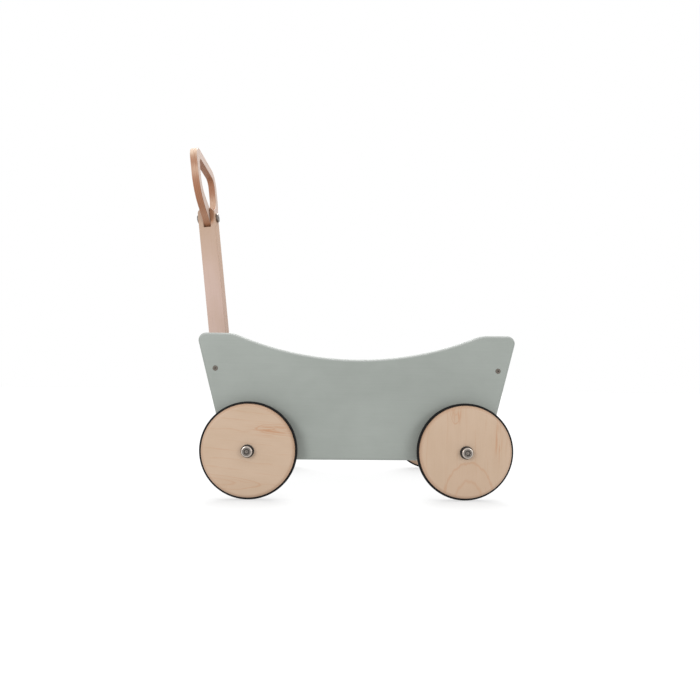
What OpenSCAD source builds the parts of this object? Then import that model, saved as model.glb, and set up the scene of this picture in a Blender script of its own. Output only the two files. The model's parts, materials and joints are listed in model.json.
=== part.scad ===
// Pull-along wagon: a painted plywood tray on four wheels, with a pull arm and a grip ring.
// The origin lies on the ground midway between the axles. The front is -X and the left side is -Y.

/* [Tray] */
// Length of a side panel along its top edge, between the sharp corners
panel_l = 507.5; // [475:0.5:555]
// Height of a side panel
panel_h = 199; // [180:0.5:230]
// Thickness of a side panel
panel_t = 12; // [9:0.5:15]
// Slope of the two ends of the tray, in degrees from upright
end_rake = 13.9; // [10:0.1:17]
// Depth of the scoop in the top edge of a side panel
scoop_depth = 40; // [25:0.5:48]
// Radius of the scoop
scoop_r = 500; // [430:1:540]
// Radius of the shoulders where the scoop runs out
shoulder_r = 54; // [20:1:70]
// Rounding of the top corners of a side panel
top_corner_r = 12; // [4:1:20]
// Rounding of the bottom corners of a side panel
base_corner_r = 10; // [3:1:16]
// Width between the two side panels
tray_w = 240; // [200:1:280]
// Thickness of the front and rear panels
end_t = 12; // [9:0.5:15]
// Setback of the front and rear panels from the sloping edges of the side panels
end_inset = 10.6; // [7:0.2:15]
// Drop of the top edges of the front and rear panels below the shoulders
end_drop = 12; // [6:1:30]
// Thickness of the floor panel
floor_t = 12; // [8:0.5:16]
// Room between the axles and the underside of the floor panel
floor_room = 6; // [3:0.5:12]

/* [Wheels] */
// Diameter of a wheel over its tyre
wheel_d = 150; // [130:1:170]
// Thickness of a wheel disc
wheel_t = 18; // [17.5:0.5:22]
// Rounding of a wheel disc's two rims
rim_round = 6; // [1:0.25:6.25]
// Distance between the front and rear axles
wheelbase = 333.5; // [286:0.5:341]
// Height of the axles above the lower edges of the side panels
axle_up = 17; // [16:0.5:24]
// Height that a tyre stands proud of its disc
tyre_proud = 3; // [2:0.25:4]
// Width of a tyre
tyre_w = 5; // [4.5:0.5:5.5]
// Depth of the groove that a tyre sits in
groove_depth = 2; // [0.5:0.25:4]
// Rounding of the tyre's shoulders
tyre_round = 2; // [0.5:0.25:2.25]

/* [Axles and hubs] */
// Diameter of an axle
axle_d = 8; // [6:0.5:9]
// Chamfer on the ends of an axle
axle_chamfer = 0.8; // [0.3:0.1:1.2]
// Diameter of the centre mark in an axle end
centre_d = 2.4; // [1.5:0.1:3]
// Wall of the bushes round an axle
bush_wall = 2; // [1.5:0.25:2.5]
// Diameter of the flange on an axle bush
axle_flange_d = 22; // [18:0.5:26]
// Thickness of the flange on an axle bush
axle_flange_t = 6; // [4:0.5:9]
// Diameter of a thrust washer
washer_d = 20; // [16:0.5:24]
// Thickness of a thrust washer
washer_t = 1.6; // [1:0.1:2.5]
// Diameter of the flange on a wheel bush
wheel_flange_d = 20; // [18:0.5:24]
// Thickness of the flange on a wheel bush
wheel_flange_t = 2; // [1:0.25:6]
// Diameter of a retaining collar
collar_d = 17.4; // [15:0.2:20]
// Length of a retaining collar
collar_l = 6; // [5.5:0.5:15]
// Chamfer on the rims of a collar
collar_chamfer = 1; // [0.4:0.1:1.4]
// Depth of the axle's end below the face of its collar
axle_recess = 0.5; // [0.2:0.1:1.5]
// Diameter of a grub screw
grub_d = 3; // [2.5:0.5:3.5]
// Depth of a grub screw's end below the collar's surface
grub_recess = 0.5; // [0.2:0.1:0.8]
// Width across the flats of a grub screw's hexagon socket
grub_socket = 1.5; // [1.25:0.25:2]
// Depth of a grub screw's hexagon socket
grub_socket_depth = 1.8; // [1:0.1:2.2]

/* [Pull arm] */
// Width of the arm from front to back
arm_w = 30; // [26:0.5:34]
// Width of the arm from side to side
arm_d = 30; // [26:0.5:36]
// Length of the arm from its pivot to its top
arm_l = 384; // [330:0.5:430]
// Lean of the parked arm, in degrees from upright
arm_lean = 6; // [3.5:0.1:7]
// Rounding of the arm's top corners
arm_top_r = 8.5; // [2:0.5:10]
// Distance of the pivot in front of the front panel
pivot_out = 24.5; // [19:0.5:28]
// Height of the pivot up the front panel from its lower edge
pivot_up = 33; // [31:0.5:45]
// Room on each side of the arm in the front panel's notch
notch_room = 1.5; // [0.8:0.1:4]
// Gap between the parked arm and the notch's lower edge
stop_gap = 0.4; // [0.2:0.1:1]

/* [Arm brackets] */
// Thickness of a bracket
bracket_t = 12; // [10:0.5:16]
// Length of a bracket's foot along the front panel
bracket_foot = 60; // [52:1:62]
// Radius of a bracket's nose round the pivot
bracket_nose_r = 16; // [13:0.5:19]
// Distance between the two screws of a bracket
bracket_screw_pitch = 36; // [30:1:40]
// Diameter of a friction washer
friction_washer_d = 22; // [16:0.5:26]
// Thickness of a friction washer
friction_washer_t = 1.2; // [0.8:0.1:2]

/* [Grip ring] */
// Thickness of the ring
ring_t = 12; // [9:0.5:14]
// Width of the ring
ring_w = 134; // [120:1:146]
// Height of the ring's top above its bolt
ring_top = 107; // [95:0.5:120]
// Height of the ring's widest part above its bolt
ring_side_up = 56; // [44:0.5:66]
// Radius of the ring's foot round its bolt
ring_foot_r = 18.5; // [15:0.5:25]
// Radius of the ring's sides
ring_side_r = 60; // [30:1:64]
// Radius of the ring's top corners
ring_corner_r = 26; // [8:1:30]
// Width of the ring's band at its sides
ring_band = 16; // [12:0.5:20]
// Height of the ring's band along its top
ring_top_band = 16.5; // [12:0.5:20]
// Wood between the ring's bolt and its window
ring_web = 13; // [11:0.5:18]
// Radius of the window's foot
window_foot_r = 8; // [4:0.5:10]
// Radius of the window's sides
window_side_r = 30; // [16:1:34]
// Radius of the window's top corners
window_corner_r = 14; // [1:0.5:16]
// Distance of the ring's bolt below the top of the arm
ring_bolt_drop = 14; // [10:0.5:18]
// Room under the ring's foot in the slot
slot_floor_room = 1; // [0.8:0.1:5]
// Rounding of the slot's lower corners
slot_corner_r = 2; // [1:0.5:5]

/* [Connector bolts] */
// Diameter of the sleeves that the arm and the ring turn on
sleeve_d = 8; // [7.5:0.5:10]
// Diameter of the bolts inside the sleeves
bolt_d = 5.5; // [4:0.5:6]
// Diameter of the bolt and sleeve heads
head_d = 16; // [13:0.5:18]
// Thickness of the bolt and sleeve heads
head_t = 4; // [2.5:0.25:6]
// Chamfer on the rims of the heads
head_chamfer = 1.4; // [0.3:0.1:2]
// Width across the flats of the hexagon sockets in the heads
head_socket = 4; // [3:0.5:5]
// Depth of the hexagon sockets in the heads
head_socket_depth = 2; // [1:0.25:2.25]
// Wood that a sleeve leaves free at the bolt's head
sleeve_short = 3; // [2:0.5:5]
// Solid end of a sleeve under its head
sleeve_end = 5; // [3:0.5:7]
// Gap between a bolt's end and the bottom of its sleeve
bolt_end_gap = 1; // [0.5:0.25:3]

/* [Wood screws] */
// Diameter of a wood screw
screw_d = 4; // [3:0.5:5]
// Diameter of a screw's countersunk head
screw_head_d = 8; // [7:0.5:9]
// Height of a screw's countersunk head
screw_head_h = 3; // [2:0.25:4]
// Length of a screw's point
screw_point = 5; // [3:0.5:8]
// Diameter of a screw's tip
screw_tip_d = 1; // [0.5:0.1:1.5]
// Width across the flats of a screw's hexagon socket
screw_socket = 2.5; // [2:0.25:3]
// Depth of a screw's hexagon socket
screw_socket_depth = 1.8; // [1:0.1:2]
// Length of the screws in the side panels
side_screw_l = 40; // [32:1:50]
// Length of the screws in the brackets
bracket_screw_l = 28; // [24:1:30]
// Height of the lower screws up the front and rear panels
end_screw_low = 24; // [16:1:34]
// Height of the upper screws up the front and rear panels
end_screw_high = 118; // [80:1:130]
// Distance of the floor panel's screws from the middle of the tray
floor_screw_x = 130; // [80:1:150]

/* [Fits] */
// Radial clearance of a piece that turns on a pin or an axle
run_fit = 0.05; // [0.02:0.01:0.1]
// Clearance round a piece that is held fast
hold_fit = 0.02; // [0.01:0.01:0.1]
// Joint between the tray's panels
panel_joint = 0.1; // [0.05:0.05:0.3]
// Radial clearance of a washer
washer_fit = 0.2; // [0.1:0.05:0.4]
// End play of a wheel on its axle, and of the arm between its washers
end_play = 0.3; // [0.2:0.05:0.6]
// Clearance on each side of the ring in its slot
slot_fit = 0.3; // [0.2:0.05:0.6]

/* [Hidden] */
$fn = 96;

CORNERS = [
    ["front_left", -1, -1],
    ["front_right", -1, 1],
    ["rear_left", 1, -1],
    ["rear_right", 1, 1]
];
CORNER_PARTS = ["axle_bush", "thrust_washer", "wheel_disc", "tyre", "wheel_bush", "axle_collar"];

// Colours
SAGE = [0.62, 0.66, 0.61];
PLYWOOD = [0.86, 0.75, 0.62];
TIMBER = [0.83, 0.72, 0.62];
RUBBER = [0.10, 0.10, 0.10];
STEEL = [0.72, 0.72, 0.71];
DARK_STEEL = [0.24, 0.24, 0.24];
BLACK_NYLON = [0.07, 0.07, 0.07];
WHITE_NYLON = [0.90, 0.89, 0.85];

// Overlap of cutting shapes past the surface that they cut
cut = 1;
// Arc steps along an outline
arc_steps = 12;
scoop_steps = 36;

// Heights and widths of the tray
axle_z = wheel_d / 2;
base_z = axle_z - axle_up;
top_z = base_z + panel_h;
floor_z = axle_z + axle_d / 2 + floor_room;
side_y = tray_w / 2 + panel_t;
end_l = (top_z - end_drop - floor_z) / cos(end_rake);

// Half length of a side panel at height z, and of a plane set back from its sloping edge
function edge_x(z) = panel_l / 2 - (top_z - z) * tan(end_rake);
function set_back_x(z, depth) = edge_x(z) - depth / cos(end_rake);

// Point in the XZ plane that lies out from a sloping end panel's outer face and up its slope
function end_point(out, up) = [
    set_back_x(floor_z, end_inset) + out * cos(end_rake) + up * sin(end_rake),
    floor_z - out * sin(end_rake) + up * cos(end_rake)
];

// Stack of pieces along an axle, measured outwards from a side panel's outer face
wheel_in = axle_flange_t + washer_t + end_play;
wheel_out = wheel_in + wheel_t;
collar_in = wheel_out + wheel_flange_t + end_play;
collar_out = collar_in + collar_l;
axle_l = 2 * (side_y + collar_out - axle_recess);

// Radii of the wheels and hubs
disc_r = wheel_d / 2 - tyre_proud;
groove_r = disc_r - groove_depth;
axle_bush_r = axle_d / 2 + hold_fit + bush_wall;
wheel_bush_r = axle_d / 2 + run_fit + bush_wall;

// Places along and beside the arm
park_angle = end_rake - arm_lean;
arm_reach = (pivot_out - arm_w / 2 / cos(park_angle) - stop_gap) / tan(park_angle);
notch_up = pivot_up + arm_reach;
ring_bolt_up = arm_l - ring_bolt_drop;
slot_w = ring_t + 2 * slot_fit;
slot_round = min(slot_corner_r, slot_floor_room / 2);
slot_floor_up = ring_bolt_up - ring_foot_r - slot_floor_room;
bracket_in = arm_d / 2 + end_play + friction_washer_t;
bracket_out = bracket_in + bracket_t;

// Places of the screws in a side panel, as X and Z
side_screw_spots = concat(
    [for (end = [-1, 1]) for (up = [end_screw_low, end_screw_high])
        [end * end_point(-end_t / 2, up)[0], end_point(-end_t / 2, up)[1]]],
    [for (end = [-1, 1]) [end * floor_screw_x, floor_z + floor_t / 2]]
);

// Points along an arc, from one angle to another
function arc(x, y, r, from, to, steps = arc_steps) =
    [for (i = [0:steps]) let (a = from + (to - from) * i / steps) [x + r * cos(a), y + r * sin(a)]];

// Direction of the outward normal where a belt runs from circle p to circle q, both [x, y, r]
function belt_angle(p, q) =
    atan2(q[1] - p[1], q[0] - p[0]) - 90
    + asin((p[2] - q[2]) / norm([q[0] - p[0], q[1] - p[1]]));

// Same direction as angle a, no smaller than angle b
function turned_past(a, b) = a < b ? turned_past(a + 360, b) : a;

// Outline of a belt pulled round circles that are listed anticlockwise
function belt(circles) = [
    for (i = [0:len(circles) - 1])
        let (
            n = len(circles),
            c = circles[i],
            from = belt_angle(circles[(i + n - 1) % n], c),
            to = turned_past(belt_angle(c, circles[(i + 1) % n]), from)
        )
        each arc(c[0], c[1], c[2], from, to)
];

// Right half of a side panel's outline, from the bottom up and in to the middle of the scoop
function half_panel() =
    let (
        base_x = edge_x(base_z) - base_corner_r * (1 - sin(end_rake)) / cos(end_rake),
        top_x = edge_x(top_z) - top_corner_r * (1 + sin(end_rake)) / cos(end_rake),
        radii = scoop_r + shoulder_r,
        shoulder_x = sqrt(scoop_depth * (2 * radii - scoop_depth)),
        scoop_z = top_z - scoop_depth + scoop_r,
        run_out = asin(shoulder_x / radii)
    )
    concat(
        arc(base_x, base_z + base_corner_r, base_corner_r, -90, -end_rake),
        arc(top_x, top_z - top_corner_r, top_corner_r, -end_rake, 90),
        arc(shoulder_x, top_z - shoulder_r, shoulder_r, 90, 90 + run_out),
        arc(0, scoop_z, scoop_r, run_out - 90, -90, scoop_steps / 2)
    );

// Flat plate in the XZ plane, centred on Y = 0
module upright_plate(t) {
    rotate([90, 0, 0]) linear_extrude(height = t, center = true) children();
}

// Puts its children at each screw of one side panel, with their Z axis pointing into the tray
module at_side_screws(side) {
    for (spot = side_screw_spots)
        translate([spot[0], side * side_y, spot[1]]) rotate([side * 90, 0, 0]) children();
}

// Puts its children at a wheel's corner, with their Z axis pointing out along the axle
module at_corner(c) {
    translate([c[1] * wheelbase / 2, c[2] * side_y, axle_z]) rotate([-c[2] * 90, 0, 0]) children();
}

// Puts its children on the front or rear panel's outer face, with X outwards and Z up the slope
module at_end(end) {
    mirror([end < 0 ? 1 : 0, 0, 0])
        translate([end_point(0, 0)[0], 0, end_point(0, 0)[1]]) rotate([0, end_rake, 0]) children();
}

// Puts its children at the arm's pivot, with X forwards and Z up the parked arm
module at_arm() {
    at_end(-1) translate([pivot_out, 0, pivot_up]) rotate([0, -park_angle, 0]) children();
}

// Puts its children at the bracket screws, with their Z axis pointing out of the tray
module at_bracket_screws(sides = [-1, 1]) {
    at_end(-1)
        for (side = sides) for (step = [-0.5, 0.5])
            translate([-end_t, side * (bracket_in + bracket_t / 2), pivot_up + step * bracket_screw_pitch])
                rotate([0, 90, 0]) children();
}

// Puts its children at the ring's bolt, with their Z axis pointing backwards through the arm
module at_ring_bolt() {
    at_arm() translate([0, 0, ring_bolt_up]) rotate([0, -90, 0]) children();
}

// Puts its children at the pivot, with their Z axis pointing to the right
module at_pivot() {
    at_arm() rotate([-90, 0, 0]) children();
}

// Ring round the Z axis
module tube(r_out, r_in, from, to) {
    translate([0, 0, from])
        difference() {
            cylinder(r = r_out, h = to - from);
            translate([0, 0, -cut]) cylinder(r = r_in, h = to - from + 2 * cut);
        }
}

// Wood screw along +Z, with its flat head at Z = 0
module wood_screw(l) {
    difference() {
        union() {
            cylinder(d1 = screw_head_d, d2 = screw_d, h = screw_head_h);
            translate([0, 0, screw_head_h]) cylinder(d = screw_d, h = l - screw_head_h - screw_point);
            translate([0, 0, l - screw_point]) cylinder(d1 = screw_d, d2 = screw_tip_d, h = screw_point);
        }
        translate([0, 0, -cut]) hexagon(screw_socket, screw_socket_depth + cut);
    }
}

// Hole that a wood screw of length l sits in
module screw_hole(l) {
    cylinder(d1 = screw_head_d + 2 * hold_fit, d2 = screw_d + 2 * hold_fit, h = screw_head_h);
    translate([0, 0, -cut]) cylinder(d = screw_d + 2 * hold_fit, h = l + hold_fit + cut);
}

// Hexagon prism along +Z, by its width across the flats
module hexagon(flats, h) {
    cylinder(d = flats / cos(30), h = h, $fn = 6);
}

// Round head with a hexagon socket, from Z = 0 up
module bolt_head() {
    difference() {
        rotate_extrude()
            polygon([
                [0, 0],
                [head_d / 2, 0],
                [head_d / 2, head_t - head_chamfer],
                [head_d / 2 - head_chamfer, head_t],
                [0, head_t]
            ]);
        translate([0, 0, head_t - head_socket_depth]) hexagon(head_socket, head_socket_depth + cut);
    }
}

// Connector bolt along Z through a grip, with its head at the low end
module connector_bolt(grip) {
    translate([0, 0, -grip / 2]) mirror([0, 0, 1]) bolt_head();
    translate([0, 0, -grip / 2]) cylinder(d = bolt_d, h = grip - sleeve_end - bolt_end_gap);
}

// Sleeve nut that takes the connector bolt, with its head at the high end
module connector_sleeve(grip) {
    translate([0, 0, grip / 2]) bolt_head();
    difference() {
        translate([0, 0, sleeve_short - grip / 2]) cylinder(d = sleeve_d, h = grip - sleeve_short);
        translate([0, 0, -grip / 2]) cylinder(d = bolt_d + 2 * hold_fit, h = grip - sleeve_end);
    }
}

module side_panel(side) {
    right_half = half_panel();
    left_half = [for (i = [len(right_half) - 2:-1:0]) [-right_half[i][0], right_half[i][1]]];
    color(SAGE) difference() {
        translate([0, side * (side_y - panel_t / 2), 0])
            upright_plate(panel_t) polygon(concat(right_half, left_half));
        for (end = [-1, 1])
            at_corner(["", end, side])
                translate([0, 0, -panel_t - cut]) cylinder(r = axle_bush_r + hold_fit, h = panel_t + 2 * cut);
        at_side_screws(side) screw_hole(side_screw_l);
    }
}

module end_panel(end) {
    difference() {
        at_end(end)
            upright_plate(tray_w - 2 * panel_joint)
                polygon([[0, 0], [0, end_l], [-end_t, end_l], [-end_t, -end_t * tan(end_rake)]]);
        for (side = [-1, 1]) at_side_screws(side) screw_hole(side_screw_l);
    }
}

module front_panel() {
    color(SAGE) difference() {
        end_panel(-1);
        at_end(-1)
            translate([-end_t - cut, -arm_d / 2 - notch_room, notch_up])
                cube([end_t + 2 * cut, arm_d + 2 * notch_room, end_l]);
        at_bracket_screws() screw_hole(bracket_screw_l);
    }
}

module rear_panel() {
    color(SAGE) end_panel(1);
}

module floor_panel() {
    low_x = set_back_x(floor_z, end_inset + end_t) - panel_joint;
    high_x = set_back_x(floor_z + floor_t, end_inset + end_t) - panel_joint;
    color(SAGE) difference() {
        upright_plate(tray_w - 2 * panel_joint)
            polygon([
                [-low_x, floor_z],
                [low_x, floor_z],
                [high_x, floor_z + floor_t],
                [-high_x, floor_z + floor_t]
            ]);
        for (side = [-1, 1]) at_side_screws(side) screw_hole(side_screw_l);
    }
}

module side_screws(side) {
    color(DARK_STEEL) at_side_screws(side) wood_screw(side_screw_l);
}

module axle(end) {
    r = axle_d / 2;
    color(STEEL) translate([end * wheelbase / 2, 0, axle_z]) rotate([90, 0, 0])
        rotate_extrude()
            polygon([
                [0, centre_d / 2 - axle_l / 2],
                [centre_d / 2, -axle_l / 2],
                [r - axle_chamfer, -axle_l / 2],
                [r, axle_chamfer - axle_l / 2],
                [r, axle_l / 2 - axle_chamfer],
                [r - axle_chamfer, axle_l / 2],
                [centre_d / 2, axle_l / 2],
                [0, axle_l / 2 - centre_d / 2]
            ]);
}

module axle_bush(c) {
    bore_r = axle_d / 2 + hold_fit;
    color(WHITE_NYLON) at_corner(c)
        rotate_extrude()
            polygon([
                [bore_r, -panel_t],
                [axle_bush_r, -panel_t],
                [axle_bush_r, 0],
                [axle_flange_d / 2, 0],
                [axle_flange_d / 2, axle_flange_t],
                [bore_r, axle_flange_t]
            ]);
}

module thrust_washer(c) {
    color(STEEL) at_corner(c)
        tube(washer_d / 2, axle_d / 2 + washer_fit, axle_flange_t, axle_flange_t + washer_t);
}

module wheel_disc(c) {
    bore_r = wheel_bush_r + hold_fit;
    middle = wheel_in + wheel_t / 2;
    groove_half = tyre_w / 2 + hold_fit;
    color(PLYWOOD) at_corner(c)
        rotate_extrude()
            polygon(concat(
                [[bore_r, wheel_in]],
                arc(disc_r - rim_round, wheel_in + rim_round, rim_round, -90, 0),
                [[disc_r, middle - groove_half], [groove_r, middle - groove_half]],
                [[groove_r, middle + groove_half], [disc_r, middle + groove_half]],
                arc(disc_r - rim_round, wheel_out - rim_round, rim_round, 0, 90),
                [[bore_r, wheel_out]]
            ));
}

module tyre(c) {
    middle = wheel_in + wheel_t / 2;
    tread_r = wheel_d / 2;
    shoulder = tyre_w / 2 - tyre_round;
    color(RUBBER) at_corner(c)
        rotate_extrude()
            polygon(concat(
                [[groove_r + hold_fit, middle - tyre_w / 2]],
                arc(tread_r - tyre_round, middle - shoulder, tyre_round, -90, 0),
                arc(tread_r - tyre_round, middle + shoulder, tyre_round, 0, 90),
                [[groove_r + hold_fit, middle + tyre_w / 2]]
            ));
}

module wheel_bush(c) {
    bore_r = axle_d / 2 + run_fit;
    color(BLACK_NYLON) at_corner(c)
        rotate_extrude()
            polygon([
                [bore_r, wheel_in],
                [wheel_bush_r, wheel_in],
                [wheel_bush_r, wheel_out],
                [wheel_flange_d / 2, wheel_out],
                [wheel_flange_d / 2, wheel_out + wheel_flange_t],
                [bore_r, wheel_out + wheel_flange_t]
            ]);
}

// Puts its children at a collar's grub screw, with their Z axis pointing up from the axle's middle
module at_grub(c) {
    at_corner(c) translate([0, 0, collar_in + collar_l / 2]) rotate([c[2] * 90, 0, 0]) children();
}

module axle_collar(c) {
    bore_r = axle_d / 2 + hold_fit;
    r = collar_d / 2;
    color(STEEL) difference() {
        at_corner(c)
            rotate_extrude()
                polygon([
                    [bore_r, collar_in],
                    [r - collar_chamfer, collar_in],
                    [r, collar_in + collar_chamfer],
                    [r, collar_out - collar_chamfer],
                    [r - collar_chamfer, collar_out],
                    [bore_r + collar_chamfer, collar_out],
                    [bore_r, collar_out - collar_chamfer]
                ]);
        at_grub(c) cylinder(d = grub_d + 2 * hold_fit, h = collar_d);
    }
}

module collar_grub_screws() {
    grub_l = collar_d / 2 - axle_d / 2 - hold_fit - grub_recess;
    color(DARK_STEEL)
        for (c = CORNERS) at_grub(c) translate([0, 0, axle_d / 2 + hold_fit])
            difference() {
                cylinder(d = grub_d, h = grub_l);
                translate([0, 0, grub_l - grub_socket_depth]) hexagon(grub_socket, grub_socket_depth + cut);
            }
}

module bracket(side) {
    foot = bracket_foot / 2;
    far = norm([foot, pivot_out]);
    rise = acos(bracket_nose_r / far) - atan2(pivot_out, foot);
    outline = concat(
        [[0, -foot], [0, foot]],
        arc(pivot_out, 0, bracket_nose_r, 90 - rise, rise - 90)
    );
    color(TIMBER) difference() {
        at_end(-1) translate([0, side * (bracket_in + bracket_t / 2), pivot_up])
            upright_plate(bracket_t) polygon(outline);
        at_pivot() cylinder(d = sleeve_d + 2 * hold_fit, h = 2 * bracket_out + 2 * cut, center = true);
        at_bracket_screws([side]) screw_hole(bracket_screw_l);
    }
}

module bracket_screws() {
    color(DARK_STEEL) at_bracket_screws() wood_screw(bracket_screw_l);
}

module pivot_bolt() {
    color(STEEL) at_pivot() connector_bolt(2 * bracket_out);
}

module pivot_sleeve() {
    color(STEEL) at_pivot() connector_sleeve(2 * bracket_out);
}

module pivot_washers() {
    bore_r = sleeve_d / 2 + washer_fit;
    color(BLACK_NYLON) at_pivot()
        for (side = [0, 1]) mirror([0, 0, side])
            tube(friction_washer_d / 2, bore_r, bracket_in - friction_washer_t, bracket_in);
}

module pull_arm() {
    corner_x = arm_w / 2 - arm_top_r;
    corner_z = arm_l - arm_top_r;
    outline = concat(
        arc(0, 0, arm_w / 2, 180, 360, 2 * arc_steps),
        arc(corner_x, corner_z, arm_top_r, 0, 90),
        arc(-corner_x, corner_z, arm_top_r, 90, 180)
    );
    slot_x = slot_w / 2 - slot_round;
    slot_z = slot_floor_up + slot_round;
    slot = concat(
        arc(-slot_x, slot_z, slot_round, 180, 270),
        arc(slot_x, slot_z, slot_round, 270, 360),
        [[slot_w / 2, arm_l + cut], [-slot_w / 2, arm_l + cut]]
    );
    color(TIMBER) difference() {
        at_arm() upright_plate(arm_d) polygon(outline);
        at_arm() upright_plate(arm_d + 2 * cut) polygon(slot);
        at_pivot() cylinder(d = sleeve_d + 2 * run_fit, h = arm_d + 2 * cut, center = true);
        at_ring_bolt() cylinder(d = sleeve_d + 2 * hold_fit, h = arm_w + 2 * cut, center = true);
    }
}

module ring_bolt() {
    color(STEEL) at_ring_bolt() connector_bolt(arm_w);
}

module ring_sleeve() {
    color(STEEL) at_ring_bolt() connector_sleeve(arm_w);
}

// Outline of the ring or its window: a foot, two sides and two top corners, mirrored about the arm
function grip_outline(half_w, foot_z, foot_r, side_r, top, corner_r) = belt([
    [0, foot_z, foot_r],
    [half_w - side_r, ring_side_up, side_r],
    [half_w - corner_r, top - corner_r, corner_r],
    [corner_r - half_w, top - corner_r, corner_r],
    [side_r - half_w, ring_side_up, side_r]
]);

module grip_ring() {
    half_w = ring_w / 2;
    color(PLYWOOD) difference() {
        at_arm() translate([0, 0, ring_bolt_up]) rotate([90, 0, 90])
            linear_extrude(height = ring_t, center = true) difference() {
                polygon(grip_outline(half_w, 0, ring_foot_r, ring_side_r, ring_top, ring_corner_r));
                polygon(grip_outline(
                    half_w - ring_band,
                    ring_web + window_foot_r,
                    window_foot_r,
                    window_side_r,
                    ring_top - ring_top_band,
                    window_corner_r
                ));
            }
        at_ring_bolt() cylinder(d = sleeve_d + 2 * run_fit, h = ring_t + 2 * cut, center = true);
    }
}

side_panel(-1);  // left_side_panel
side_panel(1);  // right_side_panel
front_panel();
rear_panel();
floor_panel();
side_screws(-1);  // left_side_screws
side_screws(1);  // right_side_screws
axle(-1);  // front_axle
axle(1);  // rear_axle
for (c = CORNERS) {
    axle_bush(c);
    thrust_washer(c);
    wheel_disc(c);
    tyre(c);
    wheel_bush(c);
    axle_collar(c);
}
collar_grub_screws();
bracket(-1);  // left_bracket
bracket(1);  // right_bracket
bracket_screws();
pivot_bolt();
pivot_sleeve();
pivot_washers();
pull_arm();
ring_bolt();
ring_sleeve();
grip_ring();
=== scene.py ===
"""Looks of the pull-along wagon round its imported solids: painted panels, wood, rubber and steel."""
import json
import math

import bmesh
import bpy
from mathutils import Matrix, Vector

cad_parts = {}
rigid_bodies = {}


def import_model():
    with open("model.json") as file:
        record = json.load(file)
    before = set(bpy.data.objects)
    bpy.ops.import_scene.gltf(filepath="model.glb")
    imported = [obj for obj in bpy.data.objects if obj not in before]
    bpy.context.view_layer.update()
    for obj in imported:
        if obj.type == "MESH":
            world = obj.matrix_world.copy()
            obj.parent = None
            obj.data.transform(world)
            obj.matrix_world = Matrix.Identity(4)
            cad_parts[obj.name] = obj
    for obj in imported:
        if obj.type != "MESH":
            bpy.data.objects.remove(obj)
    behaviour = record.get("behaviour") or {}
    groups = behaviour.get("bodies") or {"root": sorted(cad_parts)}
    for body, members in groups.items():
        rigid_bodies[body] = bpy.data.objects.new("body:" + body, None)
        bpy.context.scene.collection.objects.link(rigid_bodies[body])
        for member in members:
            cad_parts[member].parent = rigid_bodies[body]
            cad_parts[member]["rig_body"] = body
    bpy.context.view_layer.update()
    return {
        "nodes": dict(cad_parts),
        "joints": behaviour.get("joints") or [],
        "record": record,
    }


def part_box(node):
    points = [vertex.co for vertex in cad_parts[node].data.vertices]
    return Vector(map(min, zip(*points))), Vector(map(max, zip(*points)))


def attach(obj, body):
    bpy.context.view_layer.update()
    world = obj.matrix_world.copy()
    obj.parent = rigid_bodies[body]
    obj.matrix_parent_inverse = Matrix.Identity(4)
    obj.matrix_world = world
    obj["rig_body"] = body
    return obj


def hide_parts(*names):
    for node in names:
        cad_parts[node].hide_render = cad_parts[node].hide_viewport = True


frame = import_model()

SLOTS = {part["node"]: part["material_slot"] for part in frame["record"]["subparts"]}


def srgb(r, g, b):
    """Linear colour from the 0 to 255 values of a screen colour."""
    shares = (r / 255, g / 255, b / 255)
    return tuple(c / 12.92 if c <= 0.04045 else ((c + 0.055) / 1.055) ** 2.4 for c in shares) + (1,)


MM = 0.001
RIGHT, BACK, UP = Vector((1, 0, 0)), Vector((0, 1, 0)), Vector((0, 0, 1))

# How CAD nodes are read: the grid that their corners are welded on, how far a flat face's corners may lie
# off its level, and the least cosine between a normal and the way that its face looks
WELD = 1e-6
FLAT = 2e-5
FACING = 0.6

# Turns of an outline: over CORNER_TURN is a corner, under STRAIGHT_TURN none at all, and over BENT_TURN a
# curve. Faces that meet under SMOOTH_TURN are shaded as one, and MITRE_LEAST keeps a sharp corner's inward
# step short
CORNER_TURN = math.radians(25)
STRAIGHT_TURN = math.radians(0.15)
BENT_TURN = 6 * STRAIGHT_TURN
SMOOTH_TURN = math.radians(32)
MITRE_LEAST = 0.4

# How many steps a curve's chord, a rounding, a disc's rim and a full turn are meshed with
CURVE_STEPS = 3
ROUND_STEPS = 5
RIM_STEPS = 10
LATHE_STEPS = 144

# Roundings of the plates' edges
PANEL_ROUND = 5.0 * MM
END_ROUND = 3.0 * MM
FLOOR_ROUND = 1.0 * MM
ARM_ROUND = 1.0 * MM
BRACKET_ROUND = 1.6 * MM
RING_ROUND = 0.7 * MM
HOLE_ROUND = 0.3 * MM

# Holes in plates. The widths of their rims tell countersinks from smaller holes, which screws fill, and from
# openings, of which the widest are rounded as the outer edge is. A countersink counts as side from
# POCKET_SIDE_FROM of its depth on
POCKET_SMALLEST, POCKET_LARGEST = 7 * MM, 9.5 * MM
POCKET_DEPTH, POCKET_TAPER = 3.1 * MM, 0.55
POCKET_SIDE_FROM = 0.25
WINDOW_SMALLEST = 4 * POCKET_LARGEST

# Wheels and hubs, where they aren't measured from the CAD nodes. The discs' rims lie lower than the CAD's by
# RIM_DROP, because the tyres stand out more in the photograph
TYRE_PROUD = 3 * MM
TYRE_ROUND = 0.9 * MM
TYRE_FOOT_ROUND = 0.3 * MM
GROOVE_DEPTH = 2 * MM
RIM_ROUND = 6 * MM
RIM_DROP = 0.45 * MM
LIP_ROUND = 0.4 * MM
SEAM_W, SEAM_H = 0.5 * MM, 0.12 * MM
BUSH_WALL = 2.1 * MM
COLLAR_ROUND, COLLAR_EDGE = 1.8 * MM, 0.4 * MM

# The small pieces of a hub, which copy their CAD nodes, by the starts of both names
HUB_PIECES = {"hub_": "wheel_bush_", "spacer_": "thrust_washer_", "bearing_": "axle_bush_"}

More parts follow.
